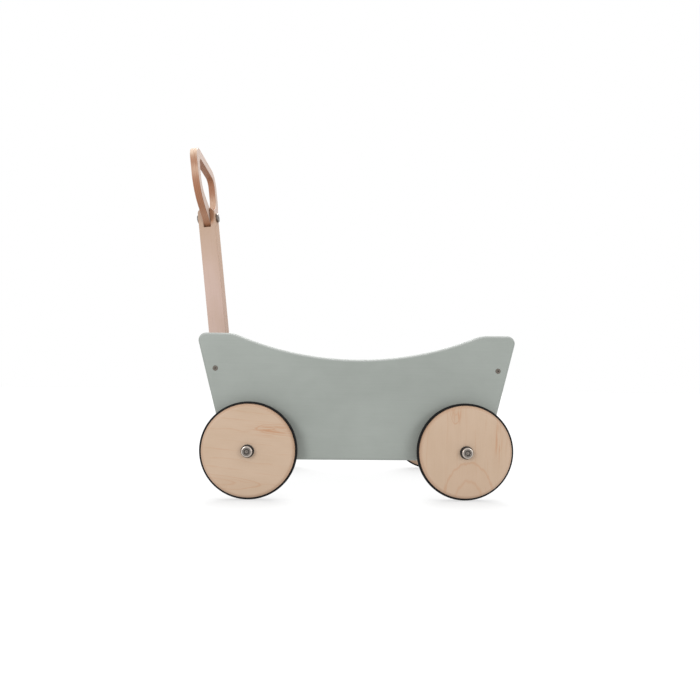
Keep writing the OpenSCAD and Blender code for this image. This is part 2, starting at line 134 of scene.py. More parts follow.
# The photograph's camera: focal length and principal point in pixels, place in the frame, turn and roll
IMAGE_PX = 700
FOCAL_PX, CENTRE_X, CENTRE_Y = 485.6, 346.1, 386.05
CAMERA_AT = Vector((-0.0346, -0.896, 0.175))
CAMERA_YAW, CAMERA_ROLL = math.radians(1.26), math.radians(0.6)
CLIP_NEAR, CLIP_FAR = 0.01, 200
SENSOR_MM = 36

# Light from white surroundings, a table that glows, soft lamps and a wide sun that washes the table alone
WHITE = (1, 1, 1, 1)
WORLD_LIGHT = 1.0
TABLE_SHINE = 0.63
TABLE_DARK, TABLE_LIGHT = (0.118, 0.118, 0.118, 1), (0.122, 0.122, 0.122, 1)
TABLE_SIZE, TABLE_CELLS = 30, 8
KEY_WATTS, KEY_AT, KEY_SIZE = 14.5, Vector((-1.2, -1.6, 0.7)), 0.8
FILL_WATTS, FILL_AT, FILL_SIZE = 10, Vector((1.3, -1.6, 0.6)), 0.9
TOP_WATTS, TOP_AT, TOP_SIZE = 20, Vector((0, 0.5, 1.5)), 1.1
WASH_STRENGTH, WASH_AT, WASH_ANGLE = 9.6, Vector((0, 0.35, 1.5)), math.radians(70)
LIGHT_AIM = Vector((0, 0, 0.15))

# What a noise mostly keeps between, and the share of a hill's height that is left at its reach
NOISE_LOW, NOISE_HIGH = 0.3, 0.7
HILL_FOOT = 0.37

# Paint, and how a painted highlight goes with the edge value of a rounding, which is 0 on the face and 1 on
# the side
PAINT_DARK, PAINT_LIGHT, PAINT_HIGHLIGHT = srgb(123, 128, 123), srgb(134, 139, 134), srgb(150, 153, 150)
PAINT_HIGHLIGHT_RAMP = ((0.0, 0.0), (0.1, 0.2), (0.3, 1.0), (0.6, 0.8), (1.0, 0.05))

# Tints of the woods, each from pale to mid and brown, and of plywood edges, from light to dark layers
WHEEL_TINT = (srgb(171, 149, 129), srgb(163, 140, 118), srgb(153, 103, 63))
TIMBER_TINT = (srgb(173, 150, 141), srgb(164, 140, 126), srgb(142, 98, 68))
RING_TINT = (srgb(170, 149, 138), srgb(164, 143, 130), srgb(141, 110, 90))
# Paler colour of the ring's edge where sanding took the burn off, and of a painted highlight at its top
# corner
RING_SANDED_AND_HIGHLIGHT = srgb(196, 171, 150)
WHEEL_PLIES = (srgb(170, 138, 114), srgb(152, 117, 91))
RING_PLIES = (srgb(145, 99, 71), srgb(130, 84, 58))
GLUE = srgb(118, 86, 63)
PLY_LAYER_MM = 1.45

# Lines of the figure, as (place, strength) stops across one ring, up one hill and through one or two layers
# of plywood
RING_LINE = ((0.0, 0.0), (0.8, 0.05), (0.93, 0.4), (0.97, 1.0), (1.0, 0.0))
ARCH_LINES = ((0.0, 0.0), (0.36, 0.0), (0.395, 1.0), (0.43, 0.12), (0.72, 0.12), (0.77, 0.8), (0.82, 0.15))
GLUE_LINE = ((0.0, 1.0), (0.09, 0.0), (0.91, 0.0), (1.0, 1.0))
EVERY_OTHER = ((0.0, 0.0), (0.49, 0.0), (0.51, 1.0), (1.0, 1.0))
RING_WANDER, RING_JITTER = 6.0, 0.7
ARCH_BOLD, FLECK_BOLD, PORE_BOLD, GLUE_BOLD = 0.5, 0.6, 0.08, 0.5

# Figures of the woods: a seed, the rings' spacing in millimetres, how bold they are, and the hills that bend
# them. A hill, arch, fleck or patch lies at (x, y) in millimetres along and across the grain, and has its
# reach both ways and its height or strength
ARM_FIGURE = {"seed": 5.0, "spacing": 11, "bold": 0.22, "hills": [(240, 4, 260, 9, 14)]}
BRACKET_FIGURE = {"seed": 17.0, "spacing": 8, "bold": 0.3, "hills": [(10, 12, 40, 10, 9)]}
RING_FIGURE = {"seed": 7.0, "spacing": 16, "bold": 0.2, "hills": [(70, 30, 60, 16, 10)]}
WHEEL_SPACING, WHEEL_BOLD = 15, 0.36

# Figures of the wheels' face veneers: the grain's angle in degrees, a seed, arches and flecks
WHEEL_FIGURES = {
    "front_left": (-4, 3.0, [(66, 36, 58, 9, 1), (-62, -50, 86, 11, 0.7)], [(36, 34, 27, 8, 1.2)]),
    "rear_left": (
        90, 11.0, [(-76, -4, 62, 40, 0.7), (72, 17, 29, 9.5, 0.9)],
        [(58, 15, 13, 7, 1.2), (18, -49, 26, 5, 1.1)],
    ),
    "front_right": (20, 23.0, [(-30, -24, 46, 11, 0.8)], [(-34, 36, 24, 6, 0.8)]),
    "rear_right": (-40, 31.0, [(40, -30, 52, 14, 0.8)], [(-20, 34, 24, 6, 0.8)]),
}

# Patches of the ring's burnt edge that are paler, from sanding and, for the first at its top corner, a
# painted highlight where the edge faces up; and a painted shadow of the ring on the arm's face beside the
# ring's slot
RING_BARE_AND_HIGHLIGHT = [
    (100, 58, 15, 18, 1.7), (61, 66, 11, 9, 0.5), (106, -24, 12, 22, 0.5), (46, -42, 15, 15, 0.9),
    (4, 22, 18, 16, 0.25),
]
ARM_PAINTED_SHADOW = [(370, -8.5, 17, 6.5, 1)]

# The stretch along the arm over which it darkens, what its colour is multiplied by there, and by what on its
# sides
ARM_DARKER_STRETCH = (230, 360, (0.90, 0.87, 0.76, 1), (0.99, 0.90, 0.80, 1))

# Rubber from clean to dusty, and metals and plastics from light to dark
RUBBER_CLEAN, RUBBER_DUSTY = srgb(10, 10, 11), srgb(20, 20, 20)
STEEL = (srgb(134, 125, 118), srgb(98, 90, 84))
COLLAR_STEEL = (srgb(206, 198, 190), srgb(168, 157, 148))
DARK_STEEL = (srgb(104, 98, 92), srgb(76, 71, 66))
BLACK_NYLON = (srgb(34, 34, 35), srgb(22, 22, 23))
WHITE_NYLON = (srgb(232, 228, 216), srgb(214, 208, 194))
MARKS_PER_MM = 6.0

# Painted highlights and reflections of a collar and its axle's end: their brightness along their radius, as
# a reach in millimetres and stops
COLLAR_HIGHLIGHTS = (9, (
    (0.0, 0.3), (0.1, 0.7), (0.2, 0.3), (0.42, 0.2), (0.47, 0.36),
    (0.64, 0.28), (0.72, 0.5), (0.79, 1.0), (0.88, 0.85), (0.97, 0.35),
))


def place(origin, x, z):
    """Matrix from a piece's own axes to the frame. Z is a face's normal or a turning axis, and X lies along
    the grain."""
    z = z.normalized()
    x = (x - z * z.dot(x)).normalized()
    made = Matrix((x, z.cross(x), z)).transposed().to_4x4()
    made.translation = origin
    return made


def middle(node):
    low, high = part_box(node)
    return (low + high) / 2


def radius(node):
    low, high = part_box(node)
    return (high.z - low.z) / 2


def half_width(node):
    low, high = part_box(node)
    return (high.y - low.y) / 2


def face_normal(node, towards):
    """Normal of a CAD node's largest flat face that looks a given way."""
    faces = [p for p in frame["nodes"][node].data.polygons if p.normal.dot(towards) > FACING]
    return max(faces, key=lambda p: p.area).normal.copy()


def joint(name):
    return next(j for j in frame["joints"] if j["name"] == name)


def cad_shape(node, at):
    """A CAD node's welded corners in a piece's own axes, and its faces as lists of their numbers."""
    inverse = at.inverted()
    mesh = frame["nodes"][node].data
    numbers, points, faces = {}, [], []
    for polygon in mesh.polygons:
        face = []
        for v in polygon.vertices:
            co = mesh.vertices[v].co
            key = tuple(round(c / WELD) for c in co)
            if key not in numbers:
                numbers[key] = len(points)
                points.append(inverse @ co)
            face.append(numbers[key])
        if len(set(face)) == len(face):
            faces.append(face)
    return points, faces


def end_loops(node, at, top):
    """Level of a CAD node's top or bottom face in a piece's own axes, and its outlines, outer one first."""
    points, faces = cad_shape(node, at)
    level = (max if top else min)(p.z for p in points)
    sides = set()
    for face in faces:
        if all(abs(points[i].z - level) < FLAT for i in face):
            ring = face if top else face[::-1]
            sides.update(zip(ring, ring[1:] + ring[:1]))
    following = {a: b for a, b in sides if (b, a) not in sides}
    loops = []
    while following:
        loop, i = [], min(following)
        while i in following:
            loop.append(points[i].to_2d())
            i = following.pop(i)
        loops.append(without_straight_points(loop))
    return level, sorted(loops, key=area, reverse=True)


def area(loop):
    return abs(sum(p.x * q.y - q.x * p.y for p, q in zip(loop, loop[1:] + loop[:1]))) / 2


def width(loop):
    return max(p.x for p in loop) - min(p.x for p in loop)


def without_straight_points(loop):
    n = len(loop)
    return [
        loop[i] for i in range(n)
        if (loop[i] - loop[i - 1]).angle(loop[(i + 1) % n] - loop[i], 0) > STRAIGHT_TURN
    ]


def curved(loop):
    """A loop of chords with more points along its curves, and its corners and straight sides kept."""
    n = len(loop)
    chords = [loop[(i + 1) % n] - loop[i] for i in range(n)]
    sharp = [chords[i - 1].angle(chords[i]) > CORNER_TURN for i in range(n)]
    tangents = [(chords[i - 1] + chords[i]).normalized() for i in range(n)]
    made = []
    for i in range(n):
        j = (i + 1) % n
        p, q, chord = loop[i], loop[j], chords[i]
        start = chord if sharp[i] else tangents[i] * chord.length
        end = chord if sharp[j] else tangents[j] * chord.length
        bent = max(start.angle(chord), end.angle(chord)) > BENT_TURN
        steps = CURVE_STEPS if bent else 1
        for k in range(steps):
            t = k / steps
            made.append(
                p * (2 * t**3 - 3 * t**2 + 1) + start * (t**3 - 2 * t**2 + t)
                + q * (3 * t**2 - 2 * t**3) + end * (t**3 - t**2)
            )
    return made


def aligned(loop, other):
    """The other loop, started at its point nearest to this loop's first one."""
    first = min(range(len(other)), key=lambda i: (other[i] - loop[0]).length)
    return other[first:] + other[:first]


def inward(loop):
    """For each point of a loop, the step into the material that moves both its sides in by one."""
    n = len(loop)
    steps = []
    for i in range(n):
        a = (loop[i] - loop[i - 1]).normalized()
        b = (loop[(i + 1) % n] - loop[i]).normalized()
        normal = Vector((-a.y - b.y, a.x + b.x)).normalized()
        steps.append(normal / max(MITRE_LEAST, normal.dot(Vector((-a.y, a.x)))))
    return steps


def new_mesh():
    """Empty mesh, and its layer of edge values, which the materials read."""
    bm = bmesh.new()
    return bm, bm.verts.layers.float.new("edge")


def add_ring(bm, edge, points, value):
    """Ring of corners with one edge value."""
    ring = [bm.verts.new(p) for p in points]
    for v in ring:
        v[edge] = value
    return ring


def band(bm, rings):
    """Faces between rings of corners. Returns the sides of the first and the last ring."""
    n = len(rings[0])
    for a, b in zip(rings, rings[1:]):
        for i in range(n):
            bm.faces.new((a[i], a[(i + 1) % n], b[(i + 1) % n], b[i]))
    ends = (rings[0], rings[-1])
    return [[bm.edges.get((ring[i], ring[(i + 1) % n])) for i in range(n)] for ring in ends]


def wall(bm, edge, low, high, low_z, high_z, r):
    """Wall round an outline with rounded rims. Returns the sides of its lower and upper rims."""
    rows = []
    for k in range(ROUND_STEPS + 1):
        share = k / ROUND_STEPS
        turn = share * math.pi / 2
        rows.append((low_z + r * (1 - math.cos(turn)), r * (1 - math.sin(turn)), share))
    rows += [(high_z - z + low_z, inset, share) for z, inset, share in reversed(rows)]
    rings = []
    for z, inset, share in rows:
        up = (z - low_z) / (high_z - low_z)
        line = [p.lerp(q, up) for p, q in zip(low, high)]
        points = [(*(p + s * inset), z) for p, s in zip(line, inward(line))]
        rings.append(add_ring(bm, edge, points, share))
    return band(bm, rings)


def pocket(bm, edge, loop, level, depth):
    """Countersunk hole with a closed bottom. Returns the sides of its rim."""
    centre = sum(loop, Vector((0, 0))) / len(loop)
    flared = 1 + 2 * HOLE_ROUND / width(loop)
    rings = []
    for share, scale in ((0, flared), (HOLE_ROUND / abs(depth), 1), (1, POCKET_TAPER)):
        points = [(*(centre + (p - centre) * scale), level + depth * share) for p in loop]
        rings.append(add_ring(bm, edge, points, min(1, share / POCKET_SIDE_FROM)))
    rim = band(bm, rings)[0]
    bm.faces.new(rings[-1])
    return rim


def plate(node, at, r):
    """Mesh of a flat piece with rounded edges, from the outlines of its CAD node's two faces. Openings and a
    plate's only hole go right through, and countersinks are closed."""
    bm, edge = new_mesh()
    low_z, low_loops = end_loops(node, at, False)
    high_z, high_loops = end_loops(node, at, True)
    outer = curved(high_loops[0])
    other = aligned(outer, curved(low_loops[0]))
    lower = other if len(other) == len(outer) else outer
    low_rim, high_rim = wall(bm, edge, lower, outer, low_z, high_z, r)
    one_hole = len(high_loops) == len(low_loops) == 2
    for loop in high_loops[1:]:
        if width(loop) > POCKET_LARGEST or one_hole:
            wide = width(loop) > WINDOW_SMALLEST
            loop = curved(loop) if wide else loop
            low_side, high_side = wall(bm, edge, loop, loop, low_z, high_z, r if wide else HOLE_ROUND)
            low_rim += low_side
            high_rim += high_side
    low_face = (low_loops, low_z, POCKET_DEPTH, low_rim)
    high_face = (high_loops, high_z, -POCKET_DEPTH, high_rim)
    for loops, level, depth, rim in (low_face, high_face):
        for loop in loops[1:]:
            if POCKET_SMALLEST < width(loop) < POCKET_LARGEST and len(loops) > 2:
                rim += pocket(bm, edge, loop, level, depth)
    for rim in (low_rim, high_rim):
        bmesh.ops.triangle_fill(bm, edges=rim, use_beauty=True)
    return bm


def eased(corners):
    """A closed profile with its roundings drawn, from (radius, height, rounding, edge value) corners to
    (radius, height, edge value) points."""
    points = []
    n = len(corners)
    for i, (x, z, r, value) in enumerate(corners):
        if not r:
            points.append((x, z, value))
            continue
        at = Vector((x, z))
        a = Vector(corners[i - 1][:2]) - at
        b = Vector(corners[(i + 1) % n][:2]) - at
        half = a.angle(b) / 2
        reach = r / math.tan(half)
        centre = at + (a.normalized() + b.normalized()).normalized() * (r / math.sin(half))
        start, end = at + a.normalized() * reach - centre, at + b.normalized() * reach - centre
        turn = math.atan2(start.x * end.y - start.y * end.x, start.dot(end))
        for k in range(ROUND_STEPS + 1):
            c, s = math.cos(turn * k / ROUND_STEPS), math.sin(turn * k / ROUND_STEPS)
            swung_x, swung_z = centre.x + start.x * c - start.y * s, centre.y + start.x * s + start.y * c
            points.append((swung_x, swung_z, value))
    return points


def lathe(corners):
    """Mesh of a piece turned about its own Z axis from a closed profile."""
    bm, edge = new_mesh()
    turns = [2 * math.pi * i / LATHE_STEPS for i in range(LATHE_STEPS)]
    rings = []
    for x, z, value in eased(corners):
        rings.append(add_ring(bm, edge, [(x * math.cos(a), x * math.sin(a), z) for a in turns], value))
    band(bm, rings + rings[:1])
    return bm


def solid(node, at):
    """Mesh of a small piece, as its CAD node has it."""
    bm = bmesh.new()
    points, faces = cad_shape(node, at)
    corners = [bm.verts.new(p) for p in points]
    for face in faces:
        bm.faces.new([corners[i] for i in face])
    return bm


def add_object(name, data, at):
    made = bpy.data.objects.new(name, data)
    bpy.context.scene.collection.objects.link(made)
    made.matrix_world = at
    return made


def add_piece(name, bm, at, look, node):
    """Makes a mesh a piece that stands for a CAD node, on that node's body and with the material given."""
    bmesh.ops.recalc_face_normals(bm, faces=bm.faces)
    mesh = bpy.data.meshes.new(name)
    bm.to_mesh(mesh)
    bm.free()
    mesh.shade_smooth()
    mesh.set_sharp_from_angle(angle=SMOOTH_TURN)
    mesh.materials.append(look)
    piece = add_object(name, mesh, at)
    even = piece.modifiers.new("even_faces", "WEIGHTED_NORMAL")
    even.keep_sharp = True
    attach(piece, frame["nodes"][node]["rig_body"])
    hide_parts(node)
    return piece


class Look:
    """A node material, with short ways to add nodes. Its lengths are millimetres of the piece's own axes."""

    def __init__(self, name, grain=0.0, **settings):
        """The grain's angle is measured from the piece's X axis, about its Z axis."""
        self.material = bpy.data.materials.new(name)
        self.material.use_nodes = True
        self.tree = self.material.node_tree
        self.shader = self.tree.nodes["Principled BSDF"]
        for socket, value in settings.items():
            self.shader.inputs[socket.replace("_", " ")].default_value = value
        own_place = self.add("TexCoord", out="Object")
        self.at = self.add("Mapping", own_place, None, (0, 0, -grain), (1 / MM,) * 3)

    def add(self, kind, *inputs, out=None, **settings):
        """Adds a node with sockets or values for its inputs. Returns the output named, or the first one."""
        node = self.tree.nodes.new("ShaderNode" + kind)
        for key, value in settings.items():
            setattr(node, key, value)
        sockets = [s for s in node.inputs if s.enabled]
        for socket, value in zip(sockets, inputs):
            if isinstance(value, bpy.types.NodeSocket):
                self.tree.links.new(value, socket)
            elif value is not None:
                socket.default_value = value
        return node.outputs[out] if out else next(s for s in node.outputs if s.enabled)

    def maths(self, how, a, b=None):
        return self.add("Math", a, b, operation=how)

    def times(self, a, b):
        return self.maths("MULTIPLY", a, b)

    def total(self, *values):
        made = values[0]
        for value in values[1:]:
            made = self.maths("ADD", made, value)
        return made

    def stretched(self, scale, shift=(0, 0, 0)):
        """The place on the piece, scaled and shifted."""
        return self.add("Mapping", self.at, shift, None, scale)

    def part(self, axis):
        """The place on the piece along one axis."""
        return self.add("SeparateXYZ", self.at, out=axis)

    def from_axis(self):
        """Distance from the piece's own Z axis."""
        return self.add("VectorMath", self.stretched((1, 1, 0)), operation="LENGTH")

    def edge(self):
        """The mesh's edge value, 0 on a face and 1 on a side."""
        return self.add("Attribute", attribute_name="edge", out="Fac")

    def noise(self, scale, detail=3.0, roughness=0.5, shift=(0, 0, 0)):
        """Noise whose scale is its features per millimetre along each axis."""
        return self.add("TexNoise", self.stretched(scale, shift), 1.0, detail, roughness)

    def span(self, value, low, high, to_low=0.0, to_high=1.0):
        """A value that runs from low to high, moved to another range and kept inside it."""
        return self.add("MapRange", value, low, high, to_low, to_high)

    def spread(self, low, high, *noises):
        """The sum of some noises, spread from low to high."""
        n = len(noises)
        return self.span(self.total(*noises), n * NOISE_LOW, n * NOISE_HIGH, low, high)

    def mix(self, share, a, b, how="MIX"):
        return self.add("Mix", share, a, b, data_type="RGBA", blend_type=how, clamp_factor=True)

    def ramp(self, value, *stops):
        """Grey value that runs through (place, height) stops."""
        node = self.tree.nodes.new("ShaderNodeValToRGB")
        self.tree.links.new(value, node.inputs[0])
        line = node.color_ramp.elements
        while len(line) < len(stops):
            line.new(0.5)
        for element, (where, height) in zip(line, stops):
            element.position = where
            element.color = (height, height, height, 1)
        return node.outputs[0]

    def hill(self, x, y, reach_x, reach_y, height):
        """A smooth rise of that height at one place of the piece's face."""
        near = self.stretched((1 / reach_x, 1 / reach_y, 0), (-x / reach_x, -y / reach_y, 0))
        square = self.add("VectorMath", near, near, operation="DOT_PRODUCT")
        return self.times(self.maths("POWER", HILL_FOOT, square), height)

    def hills(self, patches):
        return self.total(*[self.hill(*patch) for patch in patches])

    def finish(self, colour, roughness, height, strength, depth):
        """Joins colour, roughness and a bump of that depth in millimetres to the shader."""
        bump = self.add("Bump", strength, depth * MM, None, height)
        for socket, value in (("Base Color", colour), ("Roughness", roughness), ("Normal", bump)):
            self.tree.links.new(value, self.shader.inputs[socket])
        return self.material


def sage_paint():
    """Satin paint on plywood, with a faint roller texture and grain, and a painted highlight along its
    upward-facing rounded edges.
    """
    look = Look("sage_paint", Specular_IOR_Level=0.4)
    broad = look.noise((0.006, 0.009, 0.009), 2)
    cloud = look.noise((0.035, 0.05, 0.05), 3)
    grain = look.noise((0.012, 0.55, 0.55), 4, 0.6)
    peel = look.noise((0.9, 0.9, 0.9), 2)
    shade = look.total(
        look.spread(-0.03, 0.03, broad),
        look.spread(-0.015, 0.015, cloud),
        look.spread(-0.012, 0.012, grain),
    )
    tinted = look.mix(look.span(shade, -0.06, 0.06), PAINT_DARK, PAINT_LIGHT)
    # A painted highlight: the rounded edges that face up are paler, in patches.
    arris_highlight = look.ramp(look.edge(), *PAINT_HIGHLIGHT_RAMP)
    normal = look.add("NewGeometry", out="Normal")
    upward = look.span(look.add("SeparateXYZ", normal, out="Z"), 0.1, 0.5)
    highlight_patchiness = look.span(look.noise((0.05, 0.05, 0.4), 4, 0.65), 0.35, 0.7, 0.8, 1.0)
    colour = look.mix(look.times(look.times(arris_highlight, upward), highlight_patchiness), tinted, PAINT_HIGHLIGHT)
    height = look.total(look.times(grain, 0.5), look.times(peel, 0.6))
    return look.finish(colour, look.spread(0.44, 0.56, cloud, peel), height, strength=0.25, depth=0.08)


def wood_rings(look, hills, spacing, seed):
    """Rings of a board or veneer as thin lines along its grain, bent round the hills of its figure."""
    drift = look.noise((0.010, 0.035, 0.02), 2, 0.5, (seed, seed * 2, seed))
    jitter = look.noise((0.03, 0.25, 0.1), 3, 0.6, (seed, seed, 0))
    field = look.total(
        look.part("Y"),
        look.span(drift, 0.2, 0.8, -RING_WANDER, RING_WANDER),
        look.span(jitter, 0.2, 0.8, -RING_JITTER, RING_JITTER),
        *[look.hill(*hill) for hill in hills],
    )
    return look.ramp(look.maths("FRACT", look.maths("DIVIDE", field, spacing)), *RING_LINE)


def wood_arches(look, arches, seed):
    """Thin lines round the hills of a veneer's figure, as where its rings come to a point."""
    ragged = look.span(look.noise((0.035, 0.12, 0.1), 3, 0.55, (0, seed, seed)), 0.25, 0.75, -0.04, 0.04)
    drawn = []
    for *spot, strength in arches:
        height = look.maths("ADD", look.hill(*spot, 1), ragged)
        drawn.append(look.times(look.ramp(height, *ARCH_LINES), strength))
    return look.total(*drawn)


def wood_flecks(look, flecks, seed):
    """Brown flame-shaped streaks at some places of a veneer."""
    streaks = look.span(look.noise((0.03, 0.42, 0.2), 3, 0.55, (seed, 0, seed)), 0.47, 0.60)
    return look.times(streaks, look.hills(flecks))


def ply_layers(look, plies, fibres):
    """Colour of the layers that a plywood edge shows, and the lines of glue between them."""
    light, dark = plies
    level = look.total(look.part("Z"), look.span(fibres, 0, 1, -0.12, 0.12))
    layer = look.maths("DIVIDE", level, PLY_LAYER_MM)
    glue = look.ramp(look.maths("FRACT", layer), *GLUE_LINE)
    crossed = look.ramp(look.maths("FRACT", look.times(layer, 0.5)), *EVERY_OTHER)
    grain = look.noise((0.6, 0.6, 3.0), 3, 0.6)
    shade = look.mix(look.span(look.total(crossed, look.times(grain, 0.7)), 0.2, 1.5), light, dark)
    return look.mix(look.times(glue, GLUE_BOLD), shade, GLUE), glue


def wood(
    name, tint, seed, spacing, bold, hills=(), arches=(), flecks=(), plies=None, bare_and_highlight=(), painted_shadow=(),
    darker_stretch=None, grain=0.0,
):
    """Lacquered wood with its rings, arches, flecks, fibres and pores. Plies are the colours of a plywood
    piece's edges, bare are paler patches of them, from sanding and partly a painted highlight, as
    RING_BARE_AND_HIGHLIGHT, scorch is a painted shadow on the face, as ARM_PAINTED_SHADOW, and aged is a
    darkening, as ARM_DARKER_STRETCH."""
    look = Look(name, grain, Specular_IOR_Level=0.35)
    pale, mid, brown = tint
    fade = look.span(look.noise((0.016, 0.07, 0.06), 3, 0.6, (seed * 3, 0, 0)), 0.42, 0.66)
    rings = look.times(wood_rings(look, hills, spacing, seed), fade)
    lines = look.times(rings, bold)
    if arches:
        lines = look.maths("MAXIMUM", lines, look.times(wood_arches(look, arches, seed), ARCH_BOLD))
    if flecks:
        lines = look.maths("MAXIMUM", lines, look.times(wood_flecks(look, flecks, seed), FLECK_BOLD))
    fibres = look.noise((0.02, 1.1, 1.1), 4, 0.65, (seed, 0, 0))
    broad = look.noise((0.012, 0.03, 0.03), 2, 0.5, (0, seed, 0))
    pores = look.span(look.noise((0.10, 2.4, 2.4), 2, 0.5, (0, 0, seed)), 0.62, 0.74)
    base = look.mix(look.span(look.total(look.times(fibres, 0.6), broad), 0.5, 1.1), pale, mid)
    colour = look.mix(look.times(pores, PORE_BOLD), look.mix(lines, base, brown), brown)
    if darker_stretch:
        start, end, along, beside = darker_stretch
        darkened = look.mix(1.0, colour, along, "MULTIPLY")
        colour = look.mix(look.span(look.part("X"), start, end), colour, darkened)
        colour = look.mix(look.edge(), colour, look.mix(1.0, colour, beside, "MULTIPLY"))
    # A painted shadow of the ring, browning the arm's face beside its slot.
    if painted_shadow:
        colour = look.mix(look.span(look.hills(painted_shadow), 0.3, 0.7, 0.0, 0.95), colour, brown)
    height = look.total(look.times(fibres, 0.6), look.times(rings, 0.3), look.times(pores, -0.5))
    if plies:
        side = look.edge()
        layers, glue = ply_layers(look, plies, fibres)
        # Paler patches of the burnt edge: sanding, and a painted highlight at the ring's top corner.
        if bare_and_highlight:
            ragged = look.span(look.noise((0.08, 0.08, 0.5), 3, 0.6), 0.3, 0.6, 0.5, 1.0)
            sanded_and_highlight = look.mix(look.times(glue, 0.6), RING_SANDED_AND_HIGHLIGHT, brown)
            layers = look.mix(look.times(look.hills(bare_and_highlight), ragged), layers, sanded_and_highlight)
        colour = look.mix(side, colour, layers)
        height = look.total(height, look.times(look.times(glue, side), -0.8))
    roughness = look.span(look.total(fibres, lines), 0.3, 1.1, 0.44, 0.58)
    return look.finish(colour, roughness, height, strength=0.3, depth=0.12)


def tyre_rubber():
    """Black rubber with patches of dust."""
    look = Look("tyre_rubber", Specular_IOR_Level=0.15)
    dust = look.noise((0.12, 0.12, 0.3), 4, 0.65)
    fine = look.noise((2.2, 2.2, 2.2), 3, 0.6)
    colour = look.mix(look.span(dust, 0.35, 0.75), RUBBER_CLEAN, RUBBER_DUSTY)
    return look.finish(colour, look.spread(0.55, 0.75, dust, fine), fine, strength=0.25, depth=0.06)


def metal(name, tint, rough, turned=True, painted_highlights=None):
    """Steel with slight stains, and turning marks round its own Z axis or else a fine grain. The polish
    argument is a
    painted highlight and reflection: brightness along the radius, as COLLAR_HIGHLIGHTS."""
    look = Look(name, Metallic=1.0)
    light, dark = tint
    stain = look.noise((0.25, 0.25, 0.25), 4, 0.6)
    if turned:
        round_axis = look.add("CombineXYZ", look.times(look.from_axis(), MARKS_PER_MM), look.part("Z"), 0.0)
        marks = look.add("TexNoise", round_axis, 1.0, 3, 0.7)
    else:
        marks = look.noise((1.5, 1.5, 1.5), 3, 0.6)
    colour = look.mix(look.spread(0.0, 1.0, stain, marks), dark, light)
    # Painted highlight and reflection rings, such as a bright rim on the collars.
    if painted_highlights:
        reach, stops = painted_highlights
        bright = look.ramp(look.maths("DIVIDE", look.from_axis(), reach), *stops)
        colour = look.mix(1.0, colour, bright, "MULTIPLY")
    roughness = look.spread(rough - 0.07, rough + 0.1, marks)
    return look.finish(colour, roughness, marks, strength=0.2, depth=0.05)


def nylon(name, tint):
    """Moulded nylon with a fine eroded surface."""
    look = Look(name, Specular_IOR_Level=0.45)
    light, dark = tint
    cloud = look.noise((0.2, 0.2, 0.2), 3)
    fine = look.noise((4, 4, 4), 3, 0.6)
    colour = look.mix(look.span(look.total(cloud, fine), 0.7, 1.3), dark, light)
    return look.finish(colour, look.spread(0.42, 0.6, fine), fine, strength=0.2, depth=0.04)


PAINT_LOOK = sage_paint()
RUBBER_LOOK = tyre_rubber()
STEEL_LOOK = metal("steel", STEEL, 0.3)
COLLAR_LOOK = metal("collar_steel", COLLAR_STEEL, 0.25, painted_highlights=COLLAR_HIGHLIGHTS)
SMALL_LOOKS = {
    "steel": STEEL_LOOK,
    "dark_steel": metal("dark_steel", DARK_STEEL, 0.4, turned=False),
    "black_nylon": nylon("black_nylon", BLACK_NYLON),
    "white_nylon": nylon("white_nylon", WHITE_NYLON),
}


def add_tray():
    """The five painted panels."""
    for side, out in (("left", -BACK), ("right", BACK)):
        node = side + "_side_panel"
        at = place(middle(node), UP.cross(out), out)
        add_piece("side_" + side, plate(node, at, PANEL_ROUND), at, PAINT_LOOK, node)
    for end, out in (("front", -RIGHT), ("rear", RIGHT)):
        node = end + "_panel"
        normal = face_normal(node, out)
        at = place(middle(node), UP.cross(normal), normal)
        add_piece("end_" + end, plate(node, at, END_ROUND), at, PAINT_LOOK, node)
    at = place(middle("floor_panel"), RIGHT, UP)
    add_piece("tray_floor", plate("floor_panel", at, FLOOR_ROUND), at, PAINT_LOOK, "floor_panel")


def disc_mesh(corner):
    """Plywood disc with well rounded rims and the groove that the tyre sits in."""
    half, groove_half = half_width("wheel_disc_" + corner), half_width("tyre_" + corner)
    cad_rim = radius("tyre_" + corner) - TYRE_PROUD
    rim, floor = cad_rim - RIM_DROP, cad_rim - GROOVE_DEPTH
    bore = radius("front_axle") + BUSH_WALL
    curve = []
    for k in range(RIM_STEPS + 1):
        turn = k * math.pi / 2 / RIM_STEPS
        x, z = rim - RIM_ROUND * (1 - math.sin(turn)), half - RIM_ROUND * (1 - math.cos(turn))
        curve.append((x, z, 0, k / RIM_STEPS))
    groove = [
        (rim, -groove_half, LIP_ROUND, 1), (floor, -groove_half, 0, 1),
        (floor, groove_half, 0, 1), (rim, groove_half, LIP_ROUND, 1),
    ]
    lower_curve = [(x, -z, r, value) for x, z, r, value in curve]
    return lathe([(bore, -half, 0, 0)] + lower_curve + groove + curve[::-1] + [(bore, half, 0, 0)])


def tyre_mesh(corner):
    """Rubber band with rounded shoulders and a fine moulding seam round its tread."""
    half, tread = half_width("tyre_" + corner), radius("tyre_" + corner)
    groove = tread - TYRE_PROUD - GROOVE_DEPTH
    return lathe([
        (groove, -half, TYRE_FOOT_ROUND, 1),
        (tread - SEAM_H, -half, TYRE_ROUND, 1),
        (tread - SEAM_H, -SEAM_W, 0, 1),
        (tread, 0, 0, 1),
        (tread - SEAM_H, SEAM_W, 0, 1),
        (tread - SEAM_H, half, TYRE_ROUND, 1),
        (groove, half, TYRE_FOOT_ROUND, 1),
    ])


def collar_mesh(corner, at):
    """Steel collar with a well rounded outer rim."""
    node = "axle_collar_" + corner
    out = radius(node)
    bore = radius("front_axle")
    levels = [(at.inverted() @ v).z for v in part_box(node)]
    low, high = min(levels), max(levels)
    return lathe([
        (bore, low, 0, 1),
        (out, low, COLLAR_EDGE, 1),
        (out, high, COLLAR_ROUND, 1),
        (bore, high, COLLAR_EDGE, 1),
    ])


